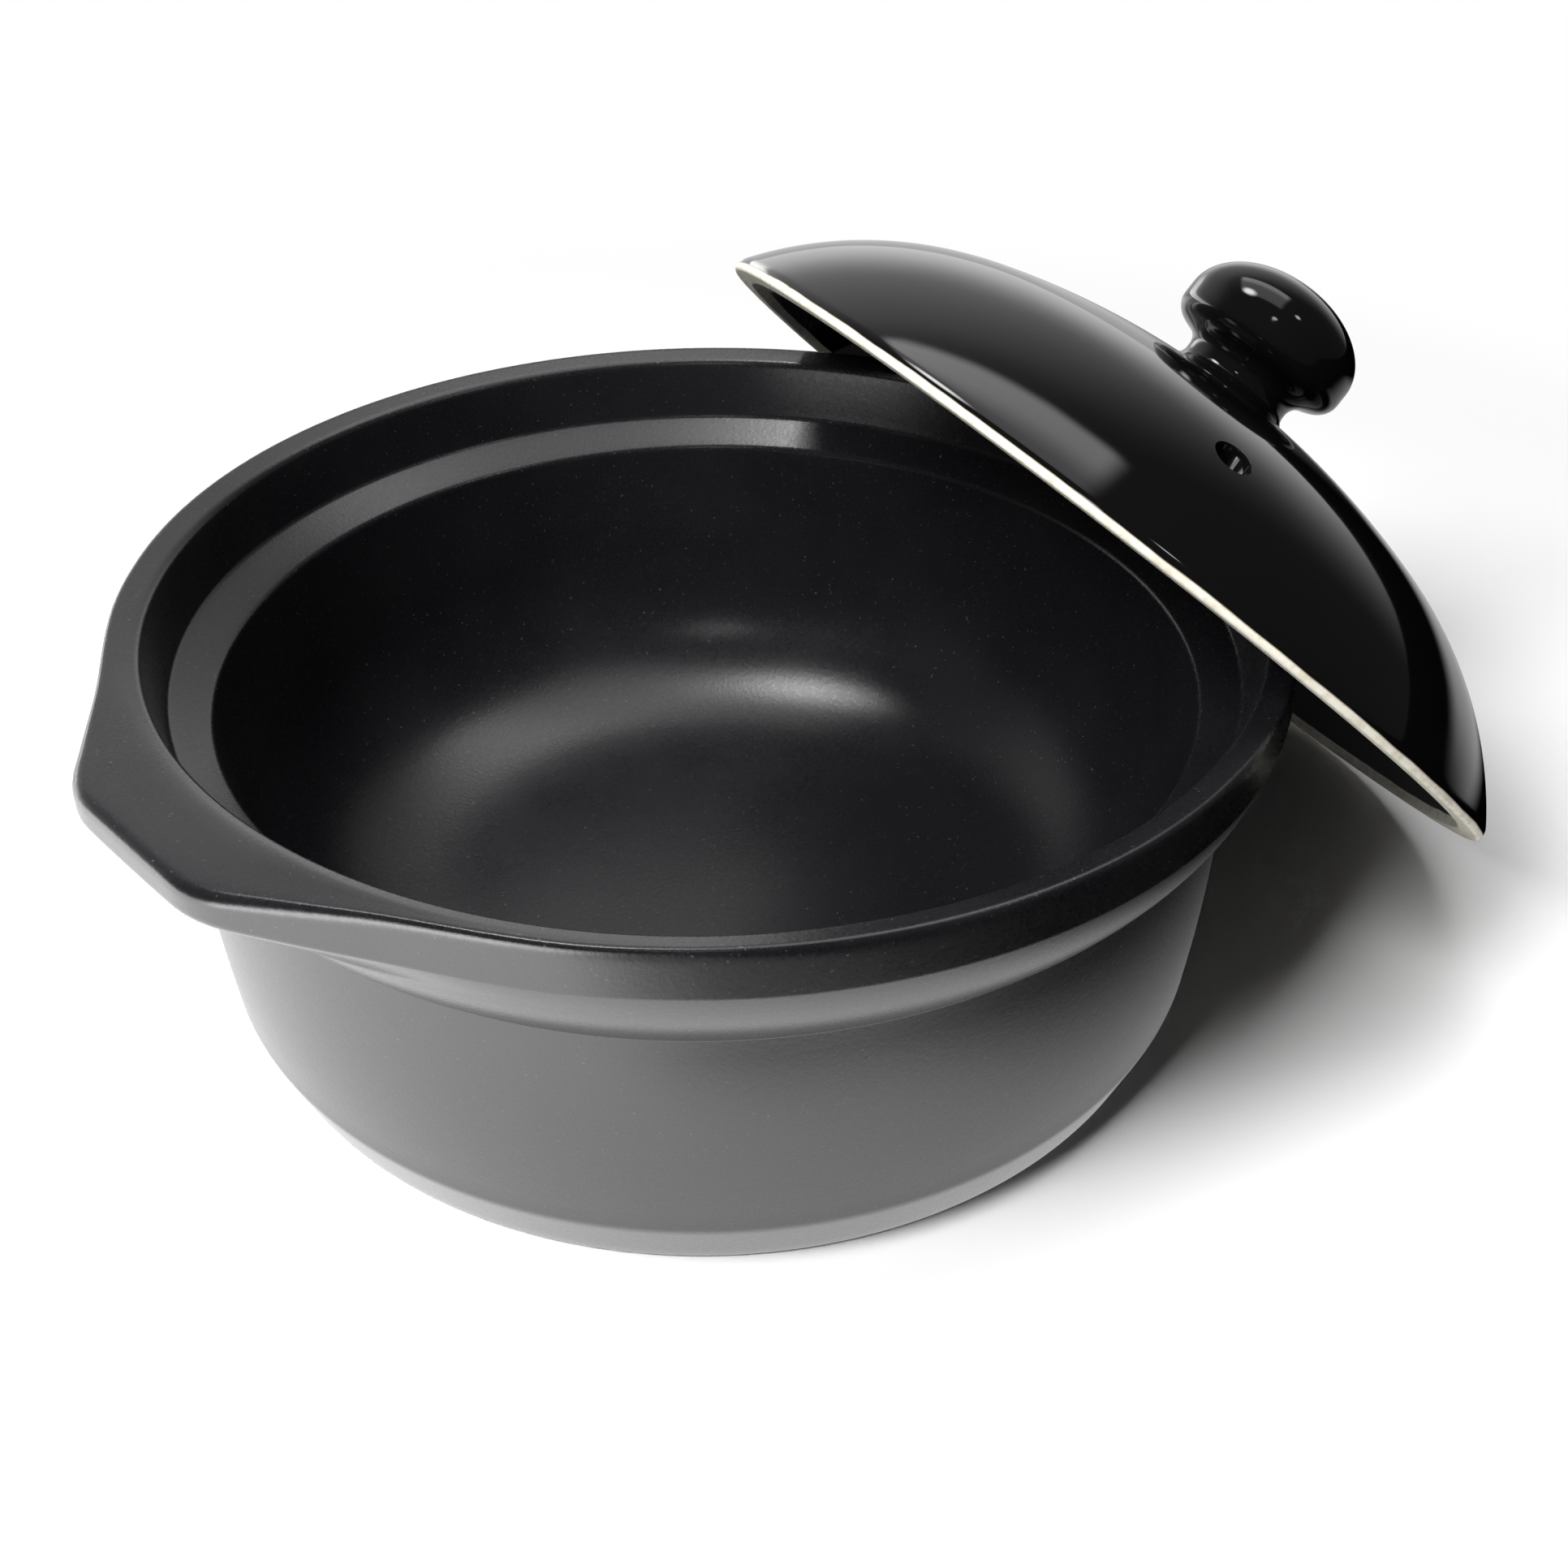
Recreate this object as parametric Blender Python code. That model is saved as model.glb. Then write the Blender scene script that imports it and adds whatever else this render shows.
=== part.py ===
"""Glazed stoneware dolsot, its domed lid hung on the rim over the right-hand lug.

The pot stands on Z = 0 with its axis on Z and its two lugs on -X and +X.
Lengths are in millimetres; add_object() turns them into metres.
"""

import math

import bmesh
import bpy
import numpy as np
from mathutils import Matrix, Vector

MM = 0.001

# Clearances
JOINT_GAP = 0.3
LID_REST_GAP = 0.36

# Finishes, as linear colour and roughness
SATIN_CHARCOAL = (0.055, 0.057, 0.060)
SATIN_ROUGHNESS = 0.38
GLOSS_BLACK = (0.012, 0.012, 0.013)
GLOSS_ROUGHNESS = 0.10

# Cooking space
BOWL_RADIUS = 99.0
BOWL_TAPER = 2.6
FLOOR_THICKNESS = 9.5
FLOOR_FILLET = 42.0

# Ledge that carries the closed lid, and the rim above it
LEDGE_DEPTH = 19.0
LEDGE_WIDTH = 8.1
LEDGE_RISE = 4.6
LEDGE_EDGE_ROUNDING = 2.0
LEDGE_CORNER_ROUNDING = 1.8
RIM_FLARE = 2.9
RIM_WIDTH = 6.2
RIM_DISH = 1.3
RIM_INNER_ROUNDING = 2.2
RIM_OUTER_ROUNDING = 1.4

# Outside of the pot
POT_HEIGHT = 87.5
WALL_THICKNESS = 7.1
WALL_TAPER = 2.3
WALL_BULGE = 0.9
BAND_HEIGHT = 27.3
BAND_FACE_HEIGHT = 9.5
BAND_BULGE = 1.5
BAND_STEP = 0.5
FOOT_CHAMFER_HEIGHT = 11.7
FOOT_CHAMFER_WIDTH = 4.8
FOOT_ROUNDING = 2.0

# Lugs
LUG_REACH = 11.5
LUG_EDGE_WIDTH = 40.0
LUG_FLANK_ANGLE = math.radians(54)
LUG_CORNER_ROUNDING = 19.0
LUG_THICKNESS = 6.5
LUG_EDGE_ROUNDING = 2.5
LUG_ROOT_DROP = 17.0
LUG_ROOT_INSET = 15.0
LUG_TIP_WIDTH = 1.2

# Shell of the lid, measured from the plane of its lip
LID_LAP = 2.0
LID_HEIGHT = 44.0
LID_THICKNESS = 5.0
CROWN_REACH = 60.0
CROWN_DROP = 10.4
LIP_HEIGHT = 2.4
LIP_FLAT = 0.4
LIP_OUTER_ROUNDING = 0.8
LIP_INNER_ROUNDING = 1.4
VENT_DIAMETER = 8.0
VENT_REACH = 77.5
VENT_BEARING = math.radians(-131)

# Knob of the lid
KNOB_HEIGHT = 28.9
KNOB_RADIUS = 20.6
KNOB_FOOT_RADIUS = 17.6
KNOB_FOOT_FLARE = 2.0
KNOB_NECK_RADIUS = 13.0
KNOB_NECK_HEIGHT = 7.0
KNOB_NECK_ROUNDING = 4.0
KNOB_CAP_HEIGHT = 13.0
KNOB_UNDERSIDE_ROUNDING = 4.5
KNOB_UNDERSIDE_RISE = 5.0

# Place of the lid as it hangs on the pot
LID_INSET = 22.45
LID_BEARING = math.radians(-18.1)
LID_HEADING = math.radians(-14.15)
LID_TILT = math.radians(43.7)

# Facets around each piece, and steps along each kind of arc
POT_SEGMENTS = 72
LID_SEGMENTS = 72
KNOB_SEGMENTS = 40
VENT_SEGMENTS = 24
FILLET_STEPS = 3
WALL_STEPS = 6
BOWL_STEPS = 9
LUG_CORNER_STEPS = 6
CROWN_STEPS = 5
SHOULDER_STEPS = 7
KNOB_CAP_STEPS = 6
SHARP_ANGLE = math.radians(32)
MERGE_DISTANCE = 0.01

# Search for the height at which the lid touches the pot
REST_SAMPLES = 1440
REST_FIRST_STEP = 8.0
REST_PRECISION = 0.001

# Sizes that follow from the ones above
LEDGE_RADIUS = BOWL_RADIUS + LEDGE_WIDTH
LEDGE_HEIGHT = POT_HEIGHT - LEDGE_DEPTH
RIM_INNER_RADIUS = LEDGE_RADIUS + RIM_FLARE
RIM_RADIUS = RIM_INNER_RADIUS + RIM_WIDTH
WALL_RADIUS = BOWL_RADIUS + WALL_THICKNESS
FOOT_RADIUS = WALL_RADIUS - WALL_TAPER - FOOT_CHAMFER_WIDTH
LID_RADIUS = BOWL_RADIUS + LID_LAP
LID_REACH = RIM_RADIUS - LID_INSET


def clear_scene():
    """Remove the objects that a new Blender file starts with."""
    for obj in list(bpy.data.objects):
        bpy.data.objects.remove(obj, do_unlink=True)


def glaze(name, colour, roughness):
    """Make the Principled material of one fired piece."""
    material = bpy.data.materials.new(name)
    material.use_nodes = True
    material.diffuse_color = (*colour, 1.0)
    shader = material.node_tree.nodes["Principled BSDF"]
    shader.inputs["Base Color"].default_value = (*colour, 1.0)
    shader.inputs["Roughness"].default_value = roughness
    shader.inputs["Metallic"].default_value = 0.0
    return material


def add_object(name, mesh_data, material=None, parent=None):
    """Turn a bmesh in millimetres into a smooth-shaded object in metres."""
    bmesh.ops.scale(mesh_data, vec=(MM, MM, MM), verts=mesh_data.verts)
    bmesh.ops.recalc_face_normals(mesh_data, faces=mesh_data.faces)
    mesh = bpy.data.meshes.new(name)
    mesh_data.to_mesh(mesh)
    mesh_data.free()
    mesh.shade_smooth()
    mesh.set_sharp_from_angle(angle=SHARP_ANGLE)
    if material:
        mesh.materials.append(material)
    obj = bpy.data.objects.new(name, mesh)
    bpy.context.collection.objects.link(obj)
    obj.parent = parent
    return obj


def cut(obj, cutter):
    """Subtract a cutter from an object and hide the cutter from the render."""
    cutter.hide_render = True
    cutter.display_type = "WIRE"
    modifier = obj.modifiers.new("cut_" + cutter.name, "BOOLEAN")
    modifier.operation = "DIFFERENCE"
    modifier.solver = "EXACT"
    modifier.object = cutter


def soften(corners, steps=FILLET_STEPS):
    """Return a path through (r, z, fillet) corners, each fillet drawn as an arc."""
    path = []
    for index, (r, z, fillet) in enumerate(corners):
        corner = Vector((r, z))
        if fillet == 0:
            path.append(corner)
            continue
        before = (Vector(corners[index - 1][:2]) - corner).normalized()
        after = (Vector(corners[index + 1][:2]) - corner).normalized()
        half = before.angle(after) / 2
        centre = corner + (before + after).normalized() * (fillet / math.sin(half))
        start = (corner + before * (fillet / math.tan(half)) - centre).normalized()
        end = (corner + after * (fillet / math.tan(half)) - centre).normalized()
        path += [centre + start.slerp(end, step / steps) * fillet for step in range(steps + 1)]
    return path


def arc(centre, radius, start, end, steps):
    """Return (r, z, 0) points on an arc whose angles run from +Z towards +R."""
    points = []
    for step in range(steps + 1):
        angle = start + (end - start) * step / steps
        r = centre[0] + radius * math.sin(angle)
        z = centre[1] + radius * math.cos(angle)
        points.append((r, z, 0))
    return points


def bowed(start, end, bulge, steps):
    """Return the inner points of an upward arc from start to end that bulges outwards."""
    chord = Vector(end) - Vector(start)
    outward = Vector((chord.y, -chord.x)).normalized()
    radius = (chord.length ** 2 / 4 + bulge ** 2) / (2 * bulge)
    half = math.asin(chord.length / 2 / radius)
    centre = (Vector(start) + Vector(end)) / 2 - outward * (radius - bulge)
    middle = math.atan2(outward.x, outward.y)
    return arc(centre, radius, middle + half, middle - half, steps)[1:-1]


def offset(path, distance):
    """Move a path, which runs up the outside, outwards by an even distance."""
    moved = []
    for index, point in enumerate(path):
        before = path[max(index - 1, 0)]
        after = path[min(index + 1, len(path) - 1)]
        direction = (after - before).normalized()
        moved.append(point + Vector((direction.y, -direction.x)) * distance)
    return moved


def turned(path, segments):
    """Spin an (r, z) path that starts and ends on the axis into a closed body."""
    body = bmesh.new()
    verts = [body.verts.new((r, 0, z)) for r, z in path]
    edges = [body.edges.new(pair) for pair in zip(verts, verts[1:])]
    bmesh.ops.spin(body, geom=verts + edges, axis=(0, 0, 1), cent=(0, 0, 0),
                   angle=math.tau, steps=segments, use_merge=True)
    bmesh.ops.remove_doubles(body, verts=body.verts, dist=MERGE_DISTANCE)
    return body


def lofted(rings):
    """Join rings of equally many points into a closed body with flat end faces."""
    body = bmesh.new()
    loops = [[body.verts.new(point) for point in ring] for ring in rings]
    for lower, upper in zip(loops, loops[1:]):
        for index in range(len(lower)):
            body.faces.new((lower[index - 1], lower[index], upper[index], upper[index - 1]))
    body.faces.new(loops[0])
    body.faces.new(loops[-1])
    return body


def pot_outside():
    """Outline of the pot from the edge of its foot up to the crest of its rim."""
    foot = (FOOT_RADIUS, 0)
    wall_foot = (FOOT_RADIUS + FOOT_CHAMFER_WIDTH, FOOT_CHAMFER_HEIGHT)
    crease = (WALL_RADIUS, POT_HEIGHT - BAND_HEIGHT)
    band_foot = (WALL_RADIUS + BAND_STEP, crease[1] + BAND_STEP)
    band_face = (RIM_RADIUS, POT_HEIGHT - BAND_FACE_HEIGHT)
    crest = (RIM_RADIUS - RIM_OUTER_ROUNDING, POT_HEIGHT - RIM_OUTER_ROUNDING)
    return [
        (*foot, FOOT_ROUNDING),
        (*wall_foot, 0),
        *bowed(wall_foot, crease, WALL_BULGE, WALL_STEPS),
        (*crease, 0),
        (*band_foot, 0),
        *bowed(band_foot, band_face, BAND_BULGE, WALL_STEPS),
        (*band_face, 0),
        *arc(crest, RIM_OUTER_ROUNDING, math.radians(90), 0, FILLET_STEPS),
    ]


def pot_section():
    """Closed outline of the pot, up its outside and down its inside."""
    room = LEDGE_HEIGHT - FLOOR_THICKNESS - 2 * LEDGE_EDGE_ROUNDING
    fillet = min(FLOOR_FILLET, room)
    fillet_centre = (BOWL_RADIUS - BOWL_TAPER - fillet, FLOOR_THICKNESS + fillet)
    inside = [
        (RIM_INNER_RADIUS, POT_HEIGHT - RIM_DISH, RIM_INNER_ROUNDING),
        (LEDGE_RADIUS, LEDGE_HEIGHT + LEDGE_RISE, LEDGE_CORNER_ROUNDING),
        (BOWL_RADIUS, LEDGE_HEIGHT, LEDGE_EDGE_ROUNDING),
        *arc(fillet_centre, fillet, math.radians(90), math.radians(180), BOWL_STEPS),
        (0, FLOOR_THICKNESS, 0),
    ]
    return soften([(0, 0, 0), *pot_outside(), *inside])


def lug_plan(inset):
    """Outline of a lug seen from above, drawn in from its full size by an inset.

    Each flank runs from the outer corner to a blunt tip that stands just off the rim.
    The outline closes inside the pot's wall, where pot_envelope() cuts it off.
    """
    across = Vector((math.sin(LUG_FLANK_ANGLE), math.cos(LUG_FLANK_ANGLE)))
    along = Vector((-across.y, across.x))
    corner = Vector((RIM_RADIUS + LUG_REACH, LUG_EDGE_WIDTH / 2))
    tip_radius = RIM_RADIUS + JOINT_GAP + LUG_TIP_WIDTH
    tip_along = math.sqrt(max(tip_radius ** 2 - corner.dot(across) ** 2, 0))
    tip = corner - along * (tip_along + corner.dot(along))
    corner_inset = corner - Vector((inset, inset * (1 - across.x) / across.y))
    tip_inset = tip * (1 - inset / tip.dot(across))
    root = tip * (BOWL_RADIUS / tip.length)
    half = soften([
        (*root, 0),
        (*tip_inset, 0),
        (*corner_inset, LUG_CORNER_ROUNDING),
        (corner_inset.x, 0, 0),
    ], LUG_CORNER_STEPS)[:-1]
    other_half = [Vector((x, -y)) for x, y in reversed(half)]
    return half + other_half


def lug_body():
    """Flat lug, level with the rim, whose underside slopes in to the band."""
    top = POT_HEIGHT
    bottom = top - LUG_THICKNESS
    rounding = LUG_EDGE_ROUNDING
    section = soften([
        (LUG_ROOT_INSET, top - LUG_ROOT_DROP, 0),
        (0, bottom, rounding),
        (0, top, rounding),
        (LUG_ROOT_INSET, top, 0),
    ])[:-1]
    return lofted([[(x, y, z) for x, y in lug_plan(inset)] for inset, z in section])


def crown_circle():
    """Centre and radius of the arc over the lid's crown, and the angle where it ends."""
    radius = (CROWN_REACH ** 2 + CROWN_DROP ** 2) / (2 * CROWN_DROP)
    return Vector((0, LID_HEIGHT - radius)), radius, math.asin(CROWN_REACH / radius)


def shoulder_circle():
    """Centre and radius of the arc that runs smoothly from the crown to the lip."""
    centre, radius, angle = crown_circle()
    normal = Vector((math.sin(angle), math.cos(angle)))
    start = centre + normal * radius
    run = Vector((LID_RADIUS, LIP_HEIGHT)) - start
    shoulder_radius = -run.length_squared / (2 * run.dot(normal))
    return start - normal * shoulder_radius, shoulder_radius


def seat_height():
    """Height of the flat place on the crown where the knob stands."""
    centre, radius, _ = crown_circle()
    return centre.y + math.sqrt(radius ** 2 - (KNOB_FOOT_RADIUS + JOINT_GAP) ** 2)


def lid_section():
    """Closed outline of the lid's shell, down its outside and up its inside."""
    crown, crown_radius, crown_end = crown_circle()
    shoulder, shoulder_radius = shoulder_circle()
    seat = KNOB_FOOT_RADIUS + JOINT_GAP
    seat_angle = math.asin(seat / crown_radius)
    corner_angle = math.atan2(LID_RADIUS - shoulder.x, LIP_HEIGHT - shoulder.y)
    shoulder_end = corner_angle - LIP_HEIGHT / shoulder_radius
    lip_room = LIP_HEIGHT - LIP_OUTER_ROUNDING - LIP_FLAT
    lip_rounding = lip_room / math.tan((math.radians(90) - corner_angle) / 2)
    inner_radius = shoulder_radius - LID_THICKNESS
    inner_end = math.acos(-shoulder.y / inner_radius)
    lip_inside = shoulder.x + inner_radius * math.sin(inner_end)
    outside = [
        (0, seat_height(), 0),
        *arc(crown, crown_radius, seat_angle, crown_end, CROWN_STEPS),
        *arc(shoulder, shoulder_radius, crown_end, shoulder_end, SHOULDER_STEPS)[1:],
        (LID_RADIUS, LIP_HEIGHT, lip_rounding),
        (LID_RADIUS, 0, LIP_OUTER_ROUNDING),
        (lip_inside, 0, LIP_INNER_ROUNDING),
    ]
    inside = [
        *arc(shoulder, inner_radius, inner_end, crown_end, SHOULDER_STEPS)[1:],
        *arc(crown, crown_radius - LID_THICKNESS, crown_end, 0, CROWN_STEPS)[1:],
    ]
    return soften(outside + inside)


def knob_section():
    """Closed outline of the knob, from the middle of its foot up to its crown."""
    foot = seat_height() + JOINT_GAP
    neck = foot + KNOB_NECK_HEIGHT
    widest = seat_height() + KNOB_HEIGHT - KNOB_CAP_HEIGHT
    cap = []
    for step in range(KNOB_CAP_STEPS + 1):
        angle = math.radians(90) * step / KNOB_CAP_STEPS
        r = KNOB_RADIUS * math.cos(angle)
        z = widest + KNOB_CAP_HEIGHT * math.sin(angle)
        cap.append((r, z, 0))
    return soften([
        (0, foot, 0),
        (KNOB_FOOT_RADIUS, foot, 0),
        (KNOB_NECK_RADIUS, foot + KNOB_FOOT_FLARE, 0),
        (KNOB_NECK_RADIUS, neck, KNOB_NECK_ROUNDING),
        (KNOB_RADIUS, widest - KNOB_UNDERSIDE_RISE, KNOB_UNDERSIDE_ROUNDING),
        *cap,
    ])


def section_gap(points, section):
    """Distance of (rho, zeta) points from a closed section, negative inside it."""
    nearest = np.full(len(points), np.inf)
    inside = np.zeros(len(points), dtype=bool)
    for start, end in zip(section, section[1:] + section[:1]):
        start = np.array(start)
        run = np.array(end) - start
        share = np.clip((points - start) @ run / max(run @ run, 1e-9), 0, 1)
        away = points - start - share[:, None] * run
        nearest = np.minimum(nearest, np.hypot(away[:, 0], away[:, 1]))
        above = points[:, 1] - start[1]
        spans = (above < 0) != (above - run[1] < 0)
        crossing = start[0] + run[0] * above / (run[1] or 1e-9)
        inside ^= spans & (points[:, 0] < crossing)
    return np.where(inside, -nearest, nearest)


def lid_turn():
    """Rotation of the hanging lid, its own X running down the slope."""
    return Matrix.Rotation(LID_HEADING, 3, "Z") @ Matrix.Rotation(LID_TILT, 3, "Y")


def rest_points():
    """Points on the rim and on the right-hand lug that the lid could touch."""
    rim = [(r, z) for r, z in pot_section() if z > POT_HEIGHT - BAND_FACE_HEIGHT]
    turns = np.linspace(0, math.tau, REST_SAMPLES, endpoint=False)
    circles = [np.column_stack([r * np.cos(turns), r * np.sin(turns), np.full(len(turns), z)])
               for r, z in rim]
    lug = lug_body()
    corners = np.array([vert.co for vert in lug.verts])
    lug.free()
    return np.vstack(circles + [corners])


def lid_height():
    """Height at which the lid, let down along Z, comes to rest on the pot."""
    turn = np.array(lid_turn())
    section = lid_section()
    points = rest_points()
    place = np.array([LID_REACH * math.cos(LID_BEARING), LID_REACH * math.sin(LID_BEARING), 0])

    def gap(height):
        local = (points - place - np.array([0, 0, height])) @ turn
        rho = np.hypot(local[:, 0], local[:, 1])
        return section_gap(np.column_stack([rho, local[:, 2]]), section).min()

    height = POT_HEIGHT + LID_RADIUS
    step = REST_FIRST_STEP
    while step > REST_PRECISION:
        if gap(height - step) > LID_REST_GAP:
            height -= step
        else:
            step /= 2
    return height


def vent_cutter(frame):
    """Bar that drills the steam vent square to the shell."""
    on_crown = VENT_REACH < CROWN_REACH
    centre, radius = crown_circle()[:2] if on_crown else shoulder_circle()
    lean = math.asin((VENT_REACH - centre.x) / radius)
    body = bmesh.new()
    bmesh.ops.create_cone(body, cap_ends=True, segments=VENT_SEGMENTS,
                          radius1=VENT_DIAMETER / 2, radius2=VENT_DIAMETER / 2,
                          depth=LID_THICKNESS * 4)
    stand = Matrix.Translation((0, 0, radius - LID_THICKNESS / 2))
    swing = Matrix.Translation((centre.x, 0, centre.y)) @ Matrix.Rotation(lean, 4, "Y")
    place = Matrix.Rotation(VENT_BEARING, 4, "Z") @ swing @ stand
    bmesh.ops.transform(body, matrix=place, verts=body.verts)
    return add_object("vent_cutter", body, parent=frame)


def pot_envelope():
    """Cutter of the pot's outer form, a gap larger all round and open at the top."""
    outside = offset(soften([(0, 0, 0), *pot_outside()])[1:], JOINT_GAP)
    over = POT_HEIGHT + LUG_THICKNESS
    path = [(0, 0), *outside, (outside[-1].x, over), (0, over)]
    return add_object("pot_envelope", turned(path, POT_SEGMENTS))


def build_pot():
    """Make the pot and its two lugs, with a gap where each lug meets the pot."""
    add_object("pot_body", turned(pot_section(), POT_SEGMENTS),
               glaze("pot_glaze", SATIN_CHARCOAL, SATIN_ROUGHNESS))
    cutter = pot_envelope()
    for name, turn in (("lug_handle_right", 0), ("lug_handle_left", math.pi)):
        lug = add_object(name, lug_body(),
                         glaze(name + "_glaze", SATIN_CHARCOAL, SATIN_ROUGHNESS))
        lug.rotation_euler.z = turn
        cut(lug, cutter)


def build_lid():
    """Make the lid on an empty that stands at the middle of its lip."""
    frame = bpy.data.objects.new("lid_frame", None)
    bpy.context.collection.objects.link(frame)
    frame.location = Vector((LID_REACH * math.cos(LID_BEARING),
                             LID_REACH * math.sin(LID_BEARING), lid_height())) * MM
    frame.rotation_euler = (0, LID_TILT, LID_HEADING)
    shell = add_object("lid_shell", turned(lid_section(), LID_SEGMENTS),
                       glaze("lid_glaze", GLOSS_BLACK, GLOSS_ROUGHNESS), frame)
    cut(shell, vent_cutter(frame))
    add_object("lid_knob", turned(knob_section(), KNOB_SEGMENTS),
               glaze("knob_glaze", GLOSS_BLACK, GLOSS_ROUGHNESS), frame)


def main():
    """Build the pot and then the lid that hangs on it."""
    clear_scene()
    build_pot()
    build_lid()


main()
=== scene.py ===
"""Looks of a dolsot, a heavy glazed bowl with two lugs, and its domed lid that leans on the rim.

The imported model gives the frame. This script turns the fine surfaces of the bowl, the lid and
the knob in that frame, gives them their glazes and their bare clay, and sets a pale studio
round them with the camera where the photograph was taken.
"""

import logging
import math
from dataclasses import dataclass
from typing import Any, Callable, Sequence

import bmesh
import bpy
from mathutils import Matrix, Vector
from mathutils.kdtree import KDTree


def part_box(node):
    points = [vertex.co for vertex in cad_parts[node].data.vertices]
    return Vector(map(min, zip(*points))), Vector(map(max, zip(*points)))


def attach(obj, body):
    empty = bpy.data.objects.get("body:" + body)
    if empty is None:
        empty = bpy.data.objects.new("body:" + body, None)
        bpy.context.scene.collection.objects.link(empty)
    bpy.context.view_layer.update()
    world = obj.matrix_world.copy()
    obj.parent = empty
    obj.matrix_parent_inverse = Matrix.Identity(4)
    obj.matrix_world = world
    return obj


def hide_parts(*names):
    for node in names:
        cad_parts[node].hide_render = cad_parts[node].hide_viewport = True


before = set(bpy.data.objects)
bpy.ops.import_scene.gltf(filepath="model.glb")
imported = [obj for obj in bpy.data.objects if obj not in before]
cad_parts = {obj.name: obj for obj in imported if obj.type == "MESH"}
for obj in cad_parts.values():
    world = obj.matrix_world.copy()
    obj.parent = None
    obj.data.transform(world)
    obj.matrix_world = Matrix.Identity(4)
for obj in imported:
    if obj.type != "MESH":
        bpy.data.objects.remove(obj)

MM = 0.001
MERGE_DISTANCE = 0.01 * MM
SMALLEST_LENGTH = 1e-6
WIDEST_ROUNDING_SHARE = 0.49

log = logging.getLogger("dolsot")


@dataclass(frozen=True)
class Corner:
    """One corner of a turned outline, in millimetres.

    Attributes:
        reach: Distance from the turning axis.
        height: Height along the axis.
        rounding: Radius of the rounding at the corner, or 0 for a sharp one.
        bulge: How far the side that follows bows out, to the left of its run where positive.
        pieces: Number of pieces in the side that follows.
    """

    reach: float
    height: float
    rounding: float = 0.0
    bulge: float = 0.0
    pieces: int = 4


class Side:
    """Straight or bowed side between two corners of an outline."""

    def __init__(self, start: Corner, end: Corner) -> None:
        """Works out the side's run and its arc.

        Args:
            start: The corner where the side starts, which holds its bulge.
            end: The corner where it ends.
        """
        self.start = Vector((start.reach, start.height))
        run = Vector((end.reach, end.height)) - self.start
        self.length = max(run.length, SMALLEST_LENGTH)
        self.along = run / self.length
        self.out = Vector((-self.along.y, self.along.x))
        self.bulge = start.bulge
        self.half_angle = 2 * math.atan2(2 * abs(self.bulge), self.length)

    def point(self, share: float) -> Vector:
        """Point at a share of the side's length.

        Args:
            share: The share, from 0 at its start to 1 at its end.

        Returns:
            The point.
        """
        if not self.bulge:
            return self.start + self.along * self.length * share
        radius = self.length / (2 * math.sin(self.half_angle))
        angle = self.half_angle * (2 * share - 1)
        rise = math.copysign(radius * (math.cos(angle) - math.cos(self.half_angle)), self.bulge)
        return self.start + self.along * (self.length / 2 + radius * math.sin(angle)) + self.out * rise

    def direction(self, share: float) -> Vector:
        """Unit vector along the side at a share of its length."""
        angle = self.half_angle * (2 * share - 1)
        return self.along * math.cos(angle) - self.out * math.copysign(math.sin(angle), self.bulge)


class Outline:
    """Outline of a turned piece, drawn corner by corner from the axis and back to it."""

    rounding_pieces = 7

    def __init__(self, corners: Sequence[Corner]) -> None:
        """Keeps the outline's corners in order."""
        self.corners = list(corners)

    def points(self) -> list[Vector]:
        """Points along the outline, always as many for the same numbers of pieces.

        Returns:
            Points with their reach as x and their height as y, in millimetres.
        """
        sides = [Side(a, b) for a, b in zip(self.corners, self.corners[1:])]
        starts = [0.0] * len(sides)
        ends = [1.0] * len(sides)
        for index, corner in enumerate(self.corners[1:-1], start=1):
            before, after = sides[index - 1], sides[index]
            turn = before.direction(1.0).angle(after.direction(0.0), 0.0)
            tangent = corner.rounding * math.tan(turn / 2)
            ends[index - 1] = 1 - min(tangent / before.length, WIDEST_ROUNDING_SHARE)
            starts[index] = min(tangent / after.length, WIDEST_ROUNDING_SHARE)
        points = [sides[0].point(0.0)]
        for index, side in enumerate(sides):
            pieces = self.corners[index].pieces
            first, last = starts[index], ends[index]
            points += [side.point(first + (last - first) * n / pieces) for n in range(1, pieces)]
            points.append(side.point(last))
            if index + 1 < len(sides) and self.corners[index + 1].rounding:
                points += self._rounded(side, last, sides[index + 1], starts[index + 1])
        return points

    def _rounded(self, before: Side, last: float, after: Side, first: float) -> list[Vector]:
        """Points of the rounding between two sides.

        Args:
            before: The side that runs into the corner.
            last: Share of its length where the rounding starts.
            after: The side that leaves the corner.
            first: Share of its length where the rounding ends.

        Returns:
            The rounding's points after its first, as a curve that runs on from both sides.
        """
        a, d = before.point(last), after.point(first)
        run_in, run_out = before.direction(last), after.direction(first)
        turn = run_in.angle(run_out, 0.0)
        chord = (d - a).length
        handle = chord * 2 / 3 / (1 + math.cos(turn / 2))
        b, c = a + run_in * handle, d - run_out * handle
        points = []
        for n in range(1, self.rounding_pieces + 1):
            t = n / self.rounding_pieces
            s = 1 - t
            points.append(a * s ** 3 + b * 3 * s * s * t + c * 3 * s * t * t + d * t ** 3)
        return points


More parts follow.
